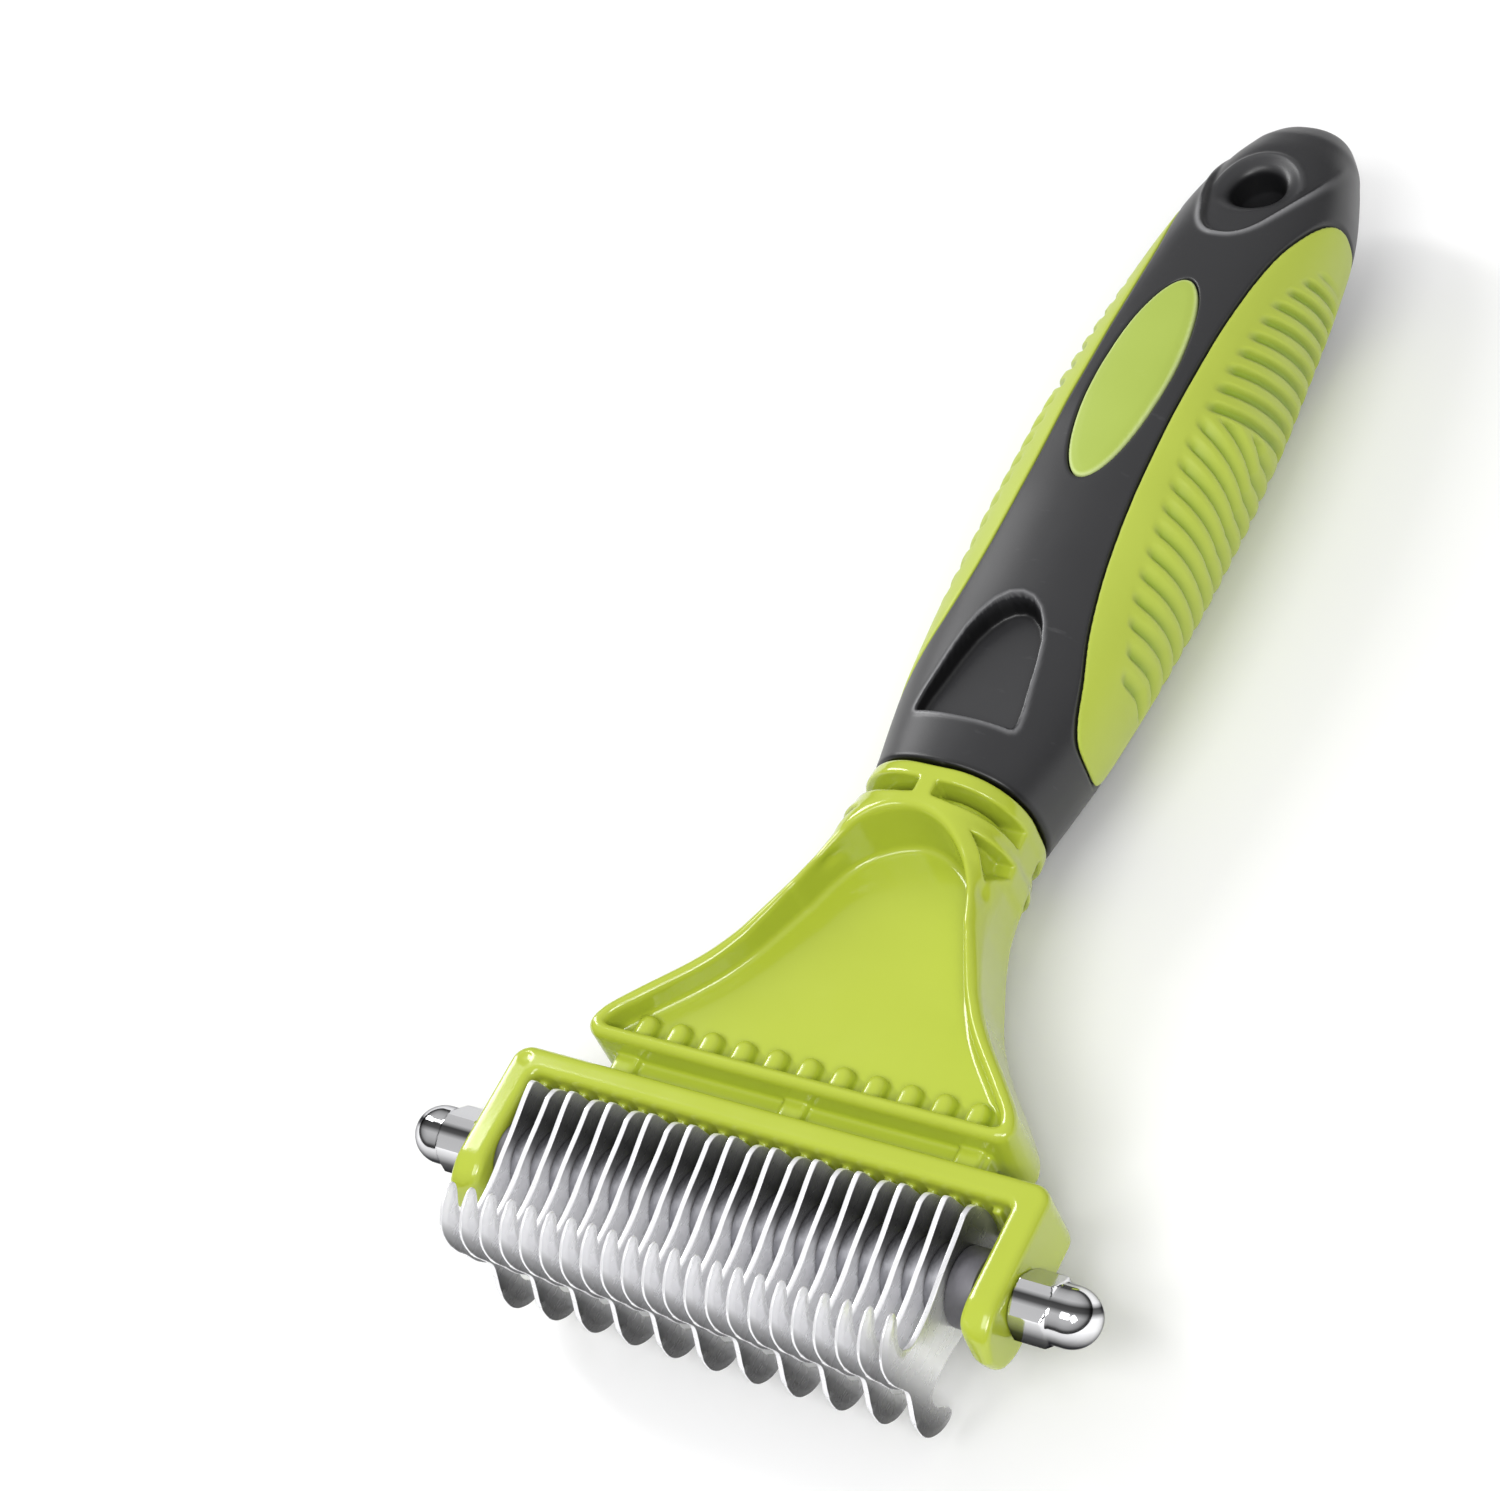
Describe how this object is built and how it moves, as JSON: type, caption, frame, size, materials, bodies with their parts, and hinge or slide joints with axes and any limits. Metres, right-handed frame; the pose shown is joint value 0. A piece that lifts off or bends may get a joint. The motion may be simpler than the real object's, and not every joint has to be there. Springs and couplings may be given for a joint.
{
  "type": "double-sided dematting comb",
  "caption": "Dematting and undercoat comb for long-haired pets: hooked steel blades clamped on a threaded rod in a yoke, finer on one face, with a soft-grip handle.",
  "frame": {"origin": "under the middle of the length and width, on the surface the tool lies on", "axes": "+X along the rod towards the right nut, +Y up the handle to the hanging hole, +Z out of the face with the finer teeth"},
  "size_m": [0.1018, 0.2074, 0.0304],
  "materials": {
    "green_plastic": "glossy moulded",
    "charcoal_plastic": "satin moulded",
    "soft_green": "satin soft-touch overmould",
    "blade_steel": "polished, faintly brushed",
    "spacer_steel": "turned, satin",
    "rod_steel": "rolled thread, bright",
    "chrome": "polished plating"
  },
  "bodies": {
    "tool_body": {"yoke_and_collar": "green_plastic", "handle_body": "charcoal_plastic", "side_grip_right": "soft_green", "side_grip_left": "soft_green", "oval_inlay_front": "soft_green", "oval_inlay_back": "soft_green", "single_blade_01": "blade_steel", "single_blade_02": "blade_steel", "single_blade_03": "blade_steel", "single_blade_04": "blade_steel", "single_blade_05": "blade_steel", "single_blade_06": "blade_steel", "single_blade_07": "blade_steel", "single_blade_08": "blade_steel", "single_blade_09": "blade_steel", "single_blade_10": "blade_steel", "single_blade_11": "blade_steel", "double_blade_01": "blade_steel", "double_blade_02": "blade_steel", "double_blade_03": "blade_steel", "double_blade_04": "blade_steel", "double_blade_05": "blade_steel", "double_blade_06": "blade_steel", "double_blade_07": "blade_steel", "double_blade_08": "blade_steel", "double_blade_09": "blade_steel", "double_blade_10": "blade_steel", "double_blade_11": "blade_steel", "spacer_01": "spacer_steel", "spacer_02": "spacer_steel", "spacer_03": "spacer_steel", "spacer_04": "spacer_steel", "spacer_05": "spacer_steel", "spacer_06": "spacer_steel", "spacer_07": "spacer_steel", "spacer_08": "spacer_steel", "spacer_09": "spacer_steel", "spacer_10": "spacer_steel", "spacer_11": "spacer_steel", "spacer_12": "spacer_steel", "spacer_13": "spacer_steel", "spacer_14": "spacer_steel", "spacer_15": "spacer_steel", "spacer_16": "spacer_steel", "spacer_17": "spacer_steel", "spacer_18": "spacer_steel", "spacer_19": "spacer_steel", "spacer_20": "spacer_steel", "spacer_21": "spacer_steel", "end_spacer_left": "spacer_steel", "end_sleeve_right": "spacer_steel"},
    "axle": {"threaded_rod": "rod_steel"},
    "right_nut": {"cap_nut_right": "chrome"},
    "left_nut": {"cap_nut_left": "chrome"}
  },
  "joints": [
    {"name": "axle_turn", "type": "hinge", "parent": "tool_body", "child": "axle", "pos_m": [0, -0.08665, 0.0152], "axis": [1, 0, 0], "continuous": true},
    {"name": "right_nut_unscrew", "type": "slide", "parent": "axle", "child": "right_nut", "axis": [1, 0, 0], "range_m": [0, 0.006]},
    {"name": "left_nut_unscrew", "type": "slide", "parent": "axle", "child": "left_nut", "axis": [-1, 0, 0], "range_m": [0, 0.006]}
  ]
}
